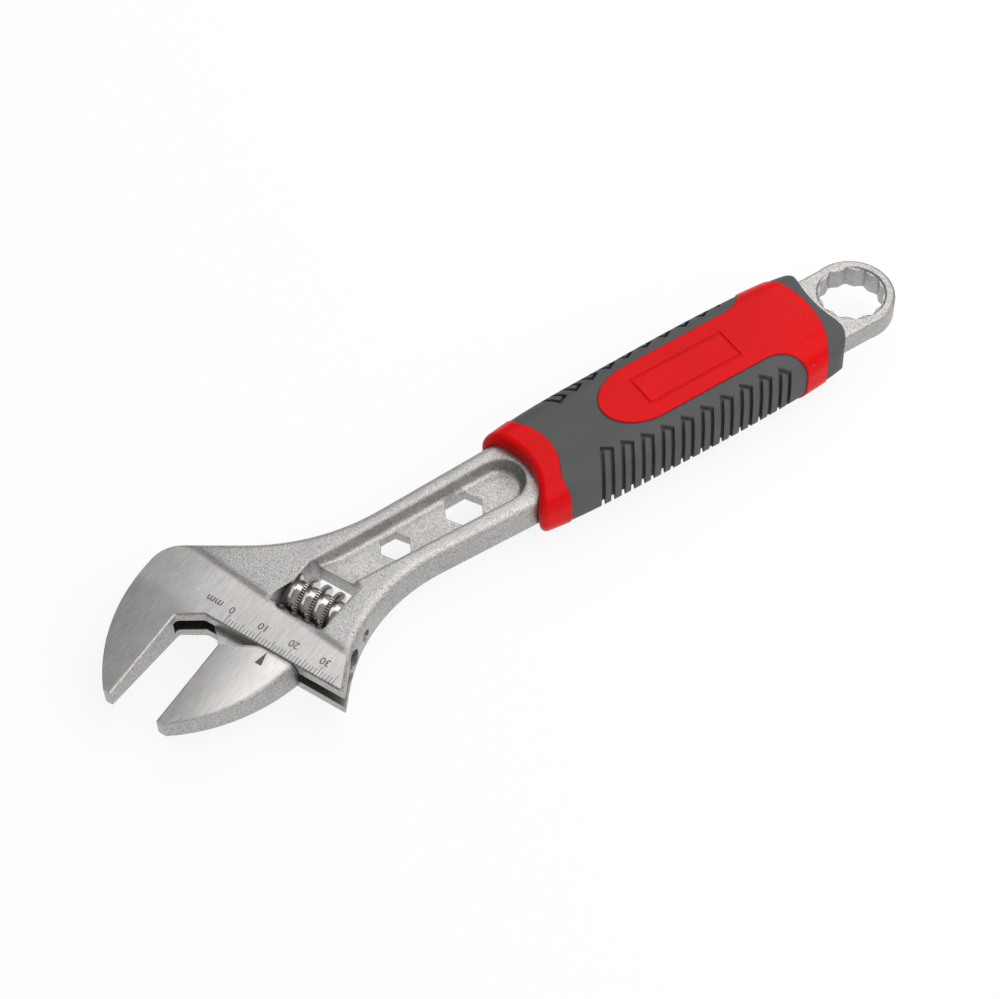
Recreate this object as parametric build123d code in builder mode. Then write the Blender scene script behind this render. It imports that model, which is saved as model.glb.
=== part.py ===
from build123d import *
from math import acos, cos, pi, radians, sin, sqrt, tan
import os

os.makedirs("parts", exist_ok=True)

# Adjustable wrench of nominal 250 mm, in millimetres.
# +X runs from the jaws to the ring, +Z is up, the shank's middle line is over y = 0.

# Lie of the tool
SOCKET_X = -39.5  # small hex socket, from which the steel and the grip are laid out
JAW_ANGLE = 22.5  # jaw faces, turned from the shank
ZERO_BACK = 48.5  # from the small socket back to the zero of the opening scale
ZERO_SIDE = 3.5  # zero of the scale, beside the shank's middle line

# Thicknesses of the steel
FORGED_T = 11.2  # shank and back of the head
HEAD_T = 10.4  # ground faces of the head
TIP_T = 5.6  # both jaws at their tips
WEB_T = 3.0  # floor between the two shank pockets
RAMP_T = 5.6  # that floor where it rises to the worm window
RAMP_L = 5.0
RING_T = 7.8
TANG_T = 7.0
FORGE_R = 2.4  # rounding of the forged edges

# Mouth and head, in slide (s) and jaw (j) distances from the scale's zero
FACE_S = 12.3  # fixed jaw face, before the zero
OPENING = 15.0  # gap between the jaws as stored
JAW_REACH = 35.2  # tips of both jaws
TIP_W = 2.4
THROAT_J = 7.7
THROAT_S = 6.0
THROAT_R = 1.2
LIP_J = 3.5  # edge along which the sliding jaw runs
LIP_END = 39.2
CROWN_S = 29.4  # back of the fixed jaw
CROWN_J = 8.8
CROWN_R = 10.0
BACK_J = 1.5  # where that back starts to curve to the tip
BACK_ANGLE = 35.0  # slope from the crown down to the shank
BACK_R = 58.0
FLANK_ANGLE = 50.0  # lower side of the head
FLANK_R = 50.0
GRIND_J = 9.6  # edge of the ground face beside the worm window
GRIND_R = 5.0
GRIND_TILT = 5.7
EDGE = 0.4  # chamfer of the jaw edges

# Shank, sockets and ring
SHANK_W = 21.8  # at the small socket
SHANK_END = 50.0  # shoulder inside the grip's front collar
SHANK_END_W = 25.0
POCKET_W = 14.8
POCKET_HEAD_W = 12.6
POCKET_END = 40.8
POCKET_DRAFT = 21.0
POCKET_FOOT = 1.2
SMALL_HEX = 8.0
LARGE_HEX = 10.0
HEX_STEP = 21.8
LEAD_IN = 0.5
RING_STEP = 153.4
RING_OD = 25.0
RING_SIZE = 17.0
RING_R = 1.1
NECK_W = 24.6
NECK_START = 133.0
TANG_W = 18.0

# Worm and its pin
WORM_J = 16.5
WORM_OD = 14.0
ROOT_OD = 9.6
PITCH = 4.2
CREST_W = 1.1
FOOT_W = 1.9
CREST_S = 13.14  # a thread crest over the rack, as stored
WORM_START = 8.0
WORM_L = 14.9
END_PLAY = 0.5
PIN_D = 3.4
PIN_START = 1.5
PIN_L = 28.6
PIN_SLOT = 0.9
RUN_FIT = 0.05
WINDOW_J = 8.5
WINDOW_R = 1.8
WINDOW_GAP = 2.9  # from the worm to the far wall of its window
RELIEF = 2.4  # thumb relief at the window
RELIEF_J = 9.0
RELIEF_Z = 1.8

# Spring on the pin, in a counterbore of the worm
SPRING_D = 5.4
WIRE_D = 0.7
SPRING_TURNS = 3.5
SPRING_BORE = 6.4
SPRING_SEAT = 5.0
SPRING_GAP = 0.3

# Sliding jaw and its rack
RAIL_D = 8.0
RAIL_L = 34.0
RAIL_CHAMFER = 0.5
KEY_T = 4.0  # web that joins the jaw to its rail
KEY_RUN = 5.7  # the web and rail reach this far ahead of the jaw face
KEY_BACK = 1.5  # and end this far before the jaw's outside
SLIDE_FIT = 0.1
LIP_GAP = 0.25
JAW_DEPTH = 21.5  # jaw face to outside, at the lip
JAW_BULGE = 3.2
JAW_R = 2.8
ROOT_J = 9.0
SHOULDER_S = 8.7
SHOULDER_J = 4.2
CLOSE_S = 17.5  # room for the rail and web when the jaws close
TOOTH_GAP = 0.3  # rack tooth to worm thread
TIP_GAP = 0.4

# Grip: hard core, soft sleeve and end collar
GRIP_T = 21.4
GRIP_R = 8.4
GRIP_SECTIONS = (  # distance from the small socket, width and thickness
    (33.0, 30.2, GRIP_T - 2.8),
    (42.0, 32.0, GRIP_T - 1.0),
    (56.0, 34.0, GRIP_T - 0.2),
    (80.0, 35.0, GRIP_T),
    (104.0, 35.6, GRIP_T),
    (124.0, 34.8, GRIP_T - 0.2),
    (134.0, 33.6, GRIP_T - 0.6),
    (141.2, 31.8, GRIP_T - 1.6),
)
MOUTH_X = 42.2  # front edge of the collar, over the shank
MOUTH_R = 20.0
MOUTH_EDGE = 1.8
COLLAR_X = 49.8  # where the collar meets the sleeve, on top
COLLAR_R = 17.0
COLLAR_SIDE = 46.0  # and at the sides
COLLAR_BEND = 6.0
PANEL_X = 67.4  # nose of the hard panels
PANEL_L = 13.3
PANEL_W = 19.8
SADDLE_X = 125.2  # where the hard saddle reaches round the sides
SADDLE_R = 10.0
END_X = 136.9  # where the saddle meets the end collar
END_R = 32.0
END_W = 32.6
END_CORNER = 5.5
END_DIP = 1.6
END_EDGE = 1.2
SLEEVE_T = 2.6
SLEEVE_DROP = 0.35  # the soft parts lie this much under the hard ones
FIT = 0.05
SLOT_COUNT = 10
SLOT_X = 59.6  # first slot, where the middle slots have their inner ends
SLOT_PITCH = 6.6
SLOT_W = 3.7
SLOT_DEPTH = 1.3
SLOT_TILT = 31.0
RIB_W = 1.7
SLOT_FRONT_Y = 10.1  # inner ends of the first, the middle and the last slots
SLOT_MID_Y = 13.5
SLOT_REAR_Y = 14.5
BADGE_L = 31.0
BADGE_W = 10.4
BADGE_X = 95.0
BADGE_LINE = 0.7
BADGE_DEPTH = 0.25

SIN = sin(radians(JAW_ANGLE))
COS = cos(radians(JAW_ANGLE))
AXIS_Z = GRIP_T / 2
TOOL = Plane(origin=(SOCKET_X, 0, AXIS_Z))
SLIDE = Vector(SIN, -COS, 0)
ALONG_JAW = Vector(COS, SIN, 0)
ZERO = (SOCKET_X - ZERO_BACK, ZERO_SIDE, AXIS_Z)
HEAD = Plane(origin=ZERO, x_dir=SLIDE, z_dir=(0, 0, 1))
CLEAR = 3 * FORGED_T  # cuts that run right through the steel
WIDE = 4 * JAW_REACH  # cuts that run right across the head
GRIP_W = max(wide for step, wide, thick in GRIP_SECTIONS)


# A point of the head, by slide and jaw distance, in the plane of the tool
def head(s, j):
    return (-ZERO_BACK + s * SIN + j * COS, ZERO_SIDE - s * COS + j * SIN)


# A plane square to the slide: jaw distance along its x, height along its y
def across(s):
    return Plane(origin=HEAD.from_local_coords((s, 0, 0)), x_dir=ALONG_JAW, z_dir=SLIDE)


# An edge whose middle lies in the plane of a jaw face
def on_face(edge, s):
    return abs(HEAD.to_local_coords(edge @ 0.5).X - s) < 0.001


face_s = OPENING - FACE_S
rail_start = face_s - KEY_RUN
rail_j = WORM_J - ROOT_OD / 2 - TIP_GAP - RAIL_D / 2
lip = -LIP_J - LIP_GAP
window_far = WORM_J + WORM_OD / 2 + WINDOW_GAP
window_start = WORM_START - END_PLAY
window_end = WORM_START + WORM_L + END_PLAY
widen = (SHANK_END_W - SHANK_W) / 2 / SHANK_END  # the shank's sides spread to the grip

# What is ground away so that both jaws taper to their tips
fall = (HEAD_T - TIP_T) / 2 / (JAW_REACH - LIP_J)
past = 2 * JAW_REACH
with BuildSketch(across(-WIDE / 2)) as taper_cut:
    for side in (1, -1):
        with BuildLine():
            Polyline(
                (-LIP_J, side * HEAD_T / 2),
                (-past, side * (HEAD_T / 2 - fall * (past - LIP_J))),
                (-past, side * CLEAR),
                (-LIP_J, side * CLEAR),
                close=True,
            )
        make_face()

# Wrench body: ring, neck and the tang inside the grip
with BuildPart() as wrench_body:
    with BuildSketch(TOOL):
        with Locations((RING_STEP, 0)):
            Circle(RING_OD / 2)
        with Locations(((NECK_START + RING_STEP) / 2, 0)):
            Rectangle(RING_STEP - NECK_START, NECK_W)
    extrude(amount=RING_T / 2, both=True)
    rims = wrench_body.faces().filter_by(Axis.Z).edges()
    fillet(rims.filter_by(lambda e: (e @ 0.5).X > SOCKET_X + NECK_START + 1), RING_R)
    with BuildSketch(TOOL):
        with Locations(((SHANK_END + NECK_START) / 2, 0)):
            Rectangle(NECK_START - SHANK_END + 2 * RING_R, TANG_W)
    extrude(amount=TANG_T / 2, both=True)

    # Outline of the forged head and shank
    tip_in = head(-FACE_S, -JAW_REACH)
    tip_out = head(-FACE_S - TIP_W, -JAW_REACH)
    throat_in = head(-FACE_S, -THROAT_J)
    throat_out = head(-THROAT_S, -LIP_J)
    corner = head(LIP_END, -LIP_J)
    steep = tan(radians(FLANK_ANGLE))
    run_down = (-SHANK_W / 2 - widen * corner[0] - corner[1]) / (steep + widen)
    flank = (corner[0] + run_down, corner[1] + steep * run_down)
    crown = head(-CROWN_S, CROWN_J)
    gentle = tan(radians(BACK_ANGLE))
    run_up = (crown[1] - SHANK_W / 2 - widen * crown[0]) / (gentle + widen)
    slope = (crown[0] + run_up, crown[1] - gentle * run_up)
    low = (SHANK_END, -SHANK_END_W / 2)
    high = (SHANK_END, SHANK_END_W / 2)
    back = head(-CROWN_S, BACK_J)
    with BuildSketch(TOOL) as forging:
        with BuildLine():
            Polyline(tip_out, tip_in, throat_in, throat_out, corner, flank)
            Polyline(flank, low, high, slope, crown, back)
            TangentArc(back, tip_out, tangent=(-COS, -SIN))
        make_face()
        for point, radius in (
            (flank, FLANK_R),
            (slope, BACK_R),
            (crown, CROWN_R),
            (throat_in, THROAT_R),
            (throat_out, THROAT_R),
        ):
            fillet(forging.vertices().sort_by_distance((*point, 0))[0], radius)
    extrude(amount=FORGED_T / 2, both=True)

    # The forged edges are those away from the mouth and from the shoulder in the grip
    def forged(edge):
        middle = edge @ 0.5
        place = HEAD.to_local_coords(middle)
        outside = place.X < -FACE_S - TIP_W or place.Y > 0
        on_skin = abs(abs(middle.Z - AXIS_Z) - FORGED_T / 2) < 0.001
        return on_skin and outside and middle.X < SOCKET_X + SHANK_END - 1

    fillet(wrench_body.edges().filter_by(forged), FORGE_R)

    # Pockets in both faces of the shank, open to the worm window
    spread = tan(radians(POCKET_DRAFT))
    for side in (1, -1):
        for height in (WEB_T / 2, FORGED_T / 2 + FORGE_R):
            inset = (FORGED_T / 2 - height) * spread
            wide = POCKET_W / 2 - inset
            narrow = POCKET_HEAD_W / 2 - inset
            turn = POCKET_END - POCKET_W / 2
            far = window_far - WINDOW_GAP / 2
            start = [
                (far - (y - ZERO_SIDE) * SIN) / COS - ZERO_BACK for y in (narrow, -narrow)
            ]
            with BuildSketch(TOOL.offset(side * height)):
                with BuildLine():
                    Line((turn, -wide), (start[1], -narrow))
                    Line((start[1], -narrow), (start[0], narrow))
                    Line((start[0], narrow), (turn, wide))
                    ThreePointArc((turn, wide), (turn + wide, 0), (turn, -wide))
                make_face()
        loft(mode=Mode.SUBTRACT)

        def at_foot(edge):
            middle = edge @ 0.5
            on_floor = abs(middle.Z - AXIS_Z - side * WEB_T / 2) < 0.001
            return on_floor and middle.X > SOCKET_X - 1

        fillet(wrench_body.edges().filter_by(at_foot), POCKET_FOOT)

    # Floor of the pockets rising to the window
    with BuildSketch(across(window_start - RELIEF)):
        with BuildLine():
            Polyline(
                (window_far - WINDOW_GAP, RAMP_T / 2),
                (window_far, RAMP_T / 2),
                (window_far + RAMP_L, WEB_T / 2),
                (window_far + RAMP_L, -WEB_T / 2),
                (window_far, -RAMP_T / 2),
                (window_far - WINDOW_GAP, -RAMP_T / 2),
                close=True,
            )
        make_face()
    extrude(amount=window_end - window_start + 2 * RELIEF)

    # Ground faces of the head, with a soft rise to the forged skin
    rise = (FORGED_T - HEAD_T) / 2 * 1.1
    bend = acos(1 - rise / 2 / GRIND_R)
    run = GRIND_R * sin(bend)
    grind = Plane(
        origin=HEAD.from_local_coords((window_start, GRIND_J, 0)),
        x_dir=ALONG_JAW.rotate(Axis.Z, -GRIND_TILT),
        z_dir=SLIDE.rotate(Axis.Z, -GRIND_TILT),
    )
    for side in (1, -1):
        flat = side * HEAD_T / 2
        half = flat + side * rise / 2
        full = flat + side * rise
        with BuildSketch(grind.offset(-WIDE / 2)):
            with BuildLine():
                TangentArc((-run, flat), (0, half), tangent=(1, 0))
                TangentArc((0, half), (run, full), tangent=(cos(bend), side * sin(bend)))
                Polyline(
                    (run, full),
                    (run, side * CLEAR),
                    (-WIDE, side * CLEAR),
                    (-WIDE, flat),
                    (-run, flat),
                )
            make_face()
    extrude(amount=WIDE, mode=Mode.SUBTRACT)
    extrude(taper_cut.sketch, amount=WIDE, mode=Mode.SUBTRACT)

    # Window for the worm, with a thumb relief on each face
    with BuildSketch(HEAD) as opening:
        with Locations(((window_start + window_end) / 2, (WINDOW_J + window_far) / 2)):
            Rectangle(window_end - window_start, window_far - WINDOW_J)
        fillet(opening.vertices(), WINDOW_R)
    extrude(amount=CLEAR, both=True, mode=Mode.SUBTRACT)
    for side in (1, -1):
        for height, reach in ((RELIEF_Z, 0.1), (FORGED_T / 2, RELIEF)):
            with BuildSketch(HEAD.offset(side * height)):
                with BuildLine():
                    Polyline(
                        (window_start + WINDOW_R, WINDOW_J + WINDOW_R / 2),
                        (window_start + WINDOW_R, WINDOW_J + RELIEF_J),
                        (window_start, WINDOW_J + RELIEF_J),
                        (window_start - reach, WINDOW_J + RELIEF_J / 3),
                        (window_start - reach, WINDOW_J + WINDOW_R / 2),
                        close=True,
                    )
                make_face()
        loft(mode=Mode.SUBTRACT)

    # Bore for the rail and slot for the web of the sliding jaw
    shut = rail_start - CLOSE_S
    with BuildSketch(across(shut)):
        with Locations((rail_j, 0)):
            Circle(RAIL_D / 2 + RUN_FIT)
    extrude(amount=WIDE, mode=Mode.SUBTRACT)
    with BuildSketch(HEAD) as slot:
        with BuildLine():
            Polyline(
                (face_s - CLOSE_S, -ROOT_J - SLIDE_FIT),
                (shut, -LIP_J),
                (shut, rail_j),
                (shut + WIDE, rail_j),
                (shut + WIDE, -ROOT_J - SLIDE_FIT),
                close=True,
            )
        make_face()
    extrude(amount=KEY_T / 2 + SLIDE_FIT, both=True, mode=Mode.SUBTRACT)

    # Broken edges of the fixed jaw face
    long_edges = wrench_body.edges().filter_by(lambda e: e.length > JAW_REACH / 2)
    chamfer(long_edges.filter_by(lambda e: on_face(e, -FACE_S)), EDGE)

    # Hole for the worm's pin, from the lower side of the head
    with BuildSketch(across(PIN_START - FIT)):
        with Locations((WORM_J, 0)):
            Circle(PIN_D / 2 + FIT)
    extrude(amount=WIDE, mode=Mode.SUBTRACT)

    # Hex sockets in the shank and the twelve-point ring, with their lead-ins
    with BuildSketch(TOOL):
        RegularPolygon(SMALL_HEX / 2, 6, major_radius=False)
        with Locations((HEX_STEP, 0)):
            RegularPolygon(LARGE_HEX / 2, 6, major_radius=False)
        with Locations((RING_STEP, 0)):
            RegularPolygon(RING_SIZE / 2, 6, major_radius=False)
            RegularPolygon(RING_SIZE / 2, 6, major_radius=False, rotation=30)
    extrude(amount=CLEAR, both=True, mode=Mode.SUBTRACT)
    for step, size, thick in (
        (0, SMALL_HEX, WEB_T),
        (HEX_STEP, LARGE_HEX, WEB_T),
        (RING_STEP, RING_SIZE, RING_T),
    ):
        rim = size / sqrt(3) + LEAD_IN / 2
        for turn in (0, 180):
            with Locations(TOOL * Location((step, 0, 0), (turn, 0, 0)) * Pos(0, 0, thick / 2)):
                Cone(
                    rim - LEAD_IN,
                    rim,
                    LEAD_IN,
                    align=(Align.CENTER, Align.CENTER, Align.MAX),
                    mode=Mode.SUBTRACT,
                )
wrench_body.part.label = "wrench_body"
export_step(wrench_body.part, "parts/wrench_body.step")

# Sliding jaw: nose, ground like the fixed one
with BuildPart() as sliding_jaw:
    outside = face_s + JAW_DEPTH
    with BuildSketch(HEAD):
        with BuildLine():
            Polyline(
                (face_s + TIP_W, -JAW_REACH),
                (face_s, -JAW_REACH),
                (face_s, -ROOT_J),
                (face_s + SHOULDER_S, -SHOULDER_J),
                (face_s + SHOULDER_S + LIP_J - SHOULDER_J + 2, lip),
                (outside, lip),
            )
            SagittaArc((outside, lip), (face_s + TIP_W, -JAW_REACH), JAW_BULGE)
        make_face()
    extrude(amount=HEAD_T / 2, both=True)
    rims = sliding_jaw.faces().filter_by(Axis.Z).edges().filter_by(GeomType.CIRCLE)
    fillet(rims, JAW_R)
    extrude(taper_cut.sketch, amount=WIDE, mode=Mode.SUBTRACT)

    long_edges = sliding_jaw.edges().filter_by(lambda e: e.length > JAW_REACH / 2)
    chamfer(long_edges.filter_by(lambda e: on_face(e, face_s)), EDGE)

    # Web and rail
    with BuildSketch(HEAD):
        with BuildLine():
            Polyline(
                (face_s, -ROOT_J),
                (rail_start, -LIP_J),
                (rail_start, rail_j),
                (outside - KEY_BACK, rail_j),
                (outside - KEY_BACK, lip - KEY_T),
                (face_s + SHOULDER_S, -ROOT_J - KEY_T),
                close=True,
            )
        make_face()
    extrude(amount=KEY_T / 2, both=True)
    with BuildSketch(across(rail_start)):
        with Locations((rail_j, 0)):
            Circle(RAIL_D / 2)
    extrude(amount=RAIL_L)
    ends = sliding_jaw.edges().filter_by(GeomType.CIRCLE)
    ends = ends.filter_by(lambda e: abs(e.radius - RAIL_D / 2) < 0.001)
    chamfer(ends.sort_by_distance(across(rail_start + RAIL_L).origin)[0], RAIL_CHAMFER)

    # Rack: gaps for the worm's thread, slanted by its lead
    lead = PITCH / (pi * (WORM_OD + ROOT_OD) / 2)
    slant = Vector(0, 0, 1) - SLIDE * lead
    taper = (FOOT_W - CREST_W) / (WORM_OD - ROOT_OD)
    deep = WORM_J - WORM_OD / 2 - TIP_GAP
    over = WORM_J - ROOT_OD / 2
    deep_w = CREST_W / 2 - taper * TIP_GAP + TOOTH_GAP
    over_w = FOOT_W / 2 + TOOTH_GAP
    first = int((rail_start - CREST_S) / PITCH) - 1
    last = int((rail_start + RAIL_L - CREST_S) / PITCH) + 1
    with BuildSketch(HEAD.offset(-RAIL_D)):
        for step in range(first, last + 1):
            s = CREST_S + step * PITCH + RAIL_D * lead
            with BuildLine():
                Polyline(
                    (s - deep_w, deep),
                    (s + deep_w, deep),
                    (s + over_w, over),
                    (s - over_w, over),
                    close=True,
                )
            make_face()
    extrude(amount=2 * RAIL_D * slant.length, dir=slant, mode=Mode.SUBTRACT)
sliding_jaw.part.label = "sliding_jaw"
export_step(sliding_jaw.part, "parts/sliding_jaw.step")

# Thread of the worm, upright at the origin and trimmed square at both ends
turns = int((CREST_S - WORM_START) / PITCH) + 1
begin = CREST_S - PITCH / 2 - turns * PITCH - WORM_START
depth = (WORM_OD - ROOT_OD) / 2
sink = depth / 4
foot_w = FOOT_W / 2 + taper * sink
with BuildPart() as thread:
    with BuildLine(Plane.XY.offset(begin)) as course:
        Helix(PITCH, WORM_L - begin + PITCH, ROOT_OD / 2)
    with BuildSketch(Plane(origin=(ROOT_OD / 2, 0, begin), x_dir=(1, 0, 0), z_dir=(0, 1, 0))):
        with BuildLine():
            Polyline(
                (-sink, -foot_w),
                (depth, -CREST_W / 2),
                (depth, CREST_W / 2),
                (-sink, foot_w),
                close=True,
            )
        make_face()
    sweep(path=course.line, is_frenet=True)
    with BuildSketch(Plane.XY):
        Circle(WORM_OD)
    extrude(amount=WORM_L, mode=Mode.INTERSECT)

# Worm: the thread on its core, bored for the pin and counterbored for the spring
worm_axis = Plane(
    origin=HEAD.from_local_coords((WORM_START, WORM_J, 0)), x_dir=ALONG_JAW, z_dir=SLIDE
)
with BuildPart(worm_axis) as adjusting_worm:
    add(thread.part)
    with BuildSketch(worm_axis):
        Circle(ROOT_OD / 2)
    extrude(amount=WORM_L)
    with BuildSketch(worm_axis):
        Circle(PIN_D / 2 + RUN_FIT)
    extrude(amount=WORM_L, mode=Mode.SUBTRACT)
    with BuildSketch(worm_axis):
        Circle(SPRING_BORE / 2)
    extrude(amount=SPRING_SEAT, mode=Mode.SUBTRACT)
adjusting_worm.part.label = "adjusting_worm"
export_step(adjusting_worm.part, "parts/adjusting_worm.step")

# Pin that carries the worm, with a driver slot in its outer end
with BuildPart() as worm_pin:
    pin_foot = worm_axis.offset(PIN_START - WORM_START)
    with BuildSketch(pin_foot):
        Circle(PIN_D / 2)
    extrude(amount=PIN_L)
    with BuildSketch(pin_foot.offset(PIN_L)):
        Rectangle(2 * PIN_D, PIN_SLOT)
    extrude(amount=-PIN_SLOT, mode=Mode.SUBTRACT)
worm_pin.part.label = "worm_pin"
export_step(worm_pin.part, "parts/worm_pin.step")

# Spring on the pin, from the wall of the window to the floor of the counterbore
coil_r = (SPRING_D - WIRE_D) / 2
coil_start = window_start + SPRING_GAP + WIRE_D / 2
coil_run = WORM_START + SPRING_SEAT - SPRING_GAP - WIRE_D / 2 - coil_start


# A point of the coil and its heading, by turns from the start
def coil_point(turn):
    place = (coil_start + coil_run * turn / SPRING_TURNS, WORM_J + coil_r * cos(2 * pi * turn))
    return HEAD.from_local_coords((*place, coil_r * sin(2 * pi * turn)))


def coil_way(turn):
    round_j = ALONG_JAW * (-coil_r * sin(2 * pi * turn))
    round_z = Vector(0, 0, coil_r * cos(2 * pi * turn))
    return (round_j + round_z + SLIDE * (coil_run / SPRING_TURNS / 2 / pi)).normalized()


with BuildPart() as worm_spring:
    with BuildLine() as coil:
        for quarter in range(int(4 * SPRING_TURNS)):
            near = coil_point(quarter / 4)
            end = coil_point((quarter + 1) / 4)
            leave = coil_way(quarter / 4)
            arrive = coil_way((quarter + 1) / 4)
            chord = end - near
            both = leave + arrive
            bend = 2 * (1 - leave.dot(arrive))
            root = sqrt(chord.dot(both) ** 2 + 2 * bend * chord.dot(chord))
            reach = (root - chord.dot(both)) / (2 * bend)
            first_q = near + leave * reach
            second_q = end - arrive * reach
            middle = (first_q + second_q) * 0.5
            TangentArc(near, middle, tangent=leave)
            TangentArc(middle, end, tangent=second_q - first_q)
    with BuildSketch(Plane(origin=coil_point(0), z_dir=coil_way(0))):
        Circle(WIRE_D / 2)
    sweep(path=coil.line)
worm_spring.part.label = "worm_spring"
export_step(worm_spring.part, "parts/worm_spring.step")
beads = [coil_point(step / 24) for step in range(int(24 * SPRING_TURNS) + 1)]
least = min(
    (beads[i] - beads[k]).length for i in range(len(beads)) for k in range(i + 12, len(beads))
)
print("spring: least gap to itself", round(least - WIRE_D, 3), "mm")


# A plane square to the shank, at a distance from the small socket
def section(step):
    return Plane(origin=(SOCKET_X + step, 0, AXIS_Z), x_dir=(0, 1, 0), z_dir=(1, 0, 0))


# Outside of the grip, or the form that lies a depth under it
def grip_form(under):
    with BuildPart() as form:
        for step, wide, thick in GRIP_SECTIONS:
            with BuildSketch(section(step)):
                RectangleRounded(wide - 2 * under, thick - 2 * under, GRIP_R - under)
        loft()
    return form.part


# Plan of the soft sleeve: behind the collar and round the hard panel and saddle
def sleeve_plan(gap):
    half = PANEL_W / 2 + gap
    nose = PANEL_X + PANEL_L
    side = SADDLE_X - gap
    with BuildSketch(TOOL) as panel:
        with BuildLine():
            Polyline(
                (nose, -half),
                (side, -half),
                (side, -GRIP_W),
                (END_X, -GRIP_W),
                (END_X, GRIP_W),
                (side, GRIP_W),
                (side, half),
                (nose, half),
                close=True,
            )
        make_face()
        for corner_y in (half, -half):
            corner = panel.vertices().sort_by_distance((side, corner_y, 0))[0]
            fillet(corner, SADDLE_R - gap)
        with Locations((nose, 0)):
            Ellipse(PANEL_L + gap, half)
    with BuildSketch(TOOL) as plan:
        edge = COLLAR_SIDE + gap
        with Locations((edge, 0)):
            Rectangle(SADDLE_X - edge, 2 * GRIP_W, align=(Align.MIN, Align.CENTER))
        with Locations((COLLAR_X - COLLAR_R, 0)):
            Circle(COLLAR_R + gap, mode=Mode.SUBTRACT)
        reach = sqrt((COLLAR_R + gap) ** 2 - (edge - COLLAR_X + COLLAR_R) ** 2)
        for corner_y in (reach, -reach):
            corner = plan.vertices().sort_by_distance((edge, corner_y, 0))[0]
            fillet(corner, COLLAR_BEND - gap)
        add(panel.sketch_local, mode=Mode.SUBTRACT)
    return plan.sketch


# Steel inside the grip: the end of the shank, the tang and the neck, each with a fit
with BuildPart() as steel_room:
    for start, stop, wide, end_wide, thick, corner_r in (
        (0, SHANK_END + FIT, SHANK_W, SHANK_END_W, FORGED_T, FORGE_R),
        (SHANK_END - FIT, NECK_START, TANG_W, TANG_W, TANG_T, 0),
        (NECK_START - FIT, RING_STEP, NECK_W, NECK_W, RING_T, RING_R),
    ):
        with BuildSketch(section(start)):
            RectangleRounded(wide + 2 * FIT, thick + 2 * FIT, corner_r + FIT)
        with BuildSketch(section(stop)):
            RectangleRounded(end_wide + 2 * FIT, thick + 2 * FIT, corner_r + FIT)
        loft()

# Room for the sleeve and for the frame line of the bare badge on the upper panel
with BuildPart() as sleeve_room:
    extrude(sleeve_plan(0), amount=CLEAR, both=True)
    add(grip_form(SLEEVE_T), mode=Mode.SUBTRACT)
with BuildPart() as badge_room:
    with BuildSketch(TOOL):
        with Locations((BADGE_X, 0)):
            Rectangle(BADGE_L, BADGE_W)
            Rectangle(BADGE_L - 2 * BADGE_LINE, BADGE_W - 2 * BADGE_LINE, mode=Mode.SUBTRACT)
    extrude(amount=CLEAR)
    add(grip_form(BADGE_DEPTH), mode=Mode.SUBTRACT)

# Hard core: front collar, panels and saddle
with BuildPart() as grip_core:
    add(grip_form(0))
    with BuildSketch(TOOL):
        with Locations((MOUTH_X - MOUTH_R, 0)):
            Circle(MOUTH_R)
    extrude(amount=CLEAR, both=True, mode=Mode.SUBTRACT)
    mouth = grip_core.faces().filter_by(GeomType.CYLINDER)
    fillet(mouth.edges(), MOUTH_EDGE)
    with BuildSketch(TOOL):
        with Locations((END_X - END_R, 0)):
            Rectangle(RING_STEP, 2 * GRIP_W, align=(Align.MIN, Align.CENTER))
            Circle(END_R, mode=Mode.SUBTRACT)
    extrude(amount=CLEAR, both=True, mode=Mode.SUBTRACT)
    add(sleeve_room.part, mode=Mode.SUBTRACT)
    add(badge_room.part, mode=Mode.SUBTRACT)
    add(steel_room.part, mode=Mode.SUBTRACT)
grip_core.part.label = "grip_core"
export_step(grip_core.part, "parts/grip_core.step")

# Slots of the sleeve, each round a rib, slanted outward to the head
with BuildPart() as slot_room:
    with BuildSketch(TOOL):
        for step in range(SLOT_COUNT):
            front = max(0, 1 - 2 * step / SLOT_COUNT) ** 2
            rear = max(0, 1 - (SLOT_COUNT - 1 - step) / 2) ** 2
            inner = SLOT_MID_Y - (SLOT_MID_Y - SLOT_FRONT_Y) * front
            inner = inner + (SLOT_REAR_Y - SLOT_MID_Y) * rear
            lean = tan(radians(SLOT_TILT))
            for side in (1, -1):
                place = (SLOT_X + step * SLOT_PITCH - (inner - SLOT_MID_Y) * lean, side * inner)
                turn = 90 - side * (90 - SLOT_TILT)
                with Locations(Location((*place, 0), (0, 0, turn))):
                    Rectangle(SLOT_W, GRIP_W, align=(Align.CENTER, Align.MIN))
                    with Locations((0, (SLOT_W - RIB_W) / 2)):
                        Rectangle(RIB_W, GRIP_W, align=(Align.CENTER, Align.MIN), mode=Mode.SUBTRACT)
    extrude(amount=CLEAR, both=True)
    add(grip_form(SLEEVE_DROP + SLOT_DEPTH), mode=Mode.SUBTRACT)

# Soft sleeve over the core
with BuildPart() as grip_sleeve:
    add(grip_form(SLEEVE_DROP))
    add(grip_form(SLEEVE_T - FIT), mode=Mode.SUBTRACT)
    extrude(sleeve_plan(FIT), amount=CLEAR, both=True, mode=Mode.INTERSECT)
    add(slot_room.part, mode=Mode.SUBTRACT)
grip_sleeve.part.label = "grip_sleeve"
export_step(grip_sleeve.part, "parts/grip_sleeve.step")

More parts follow.
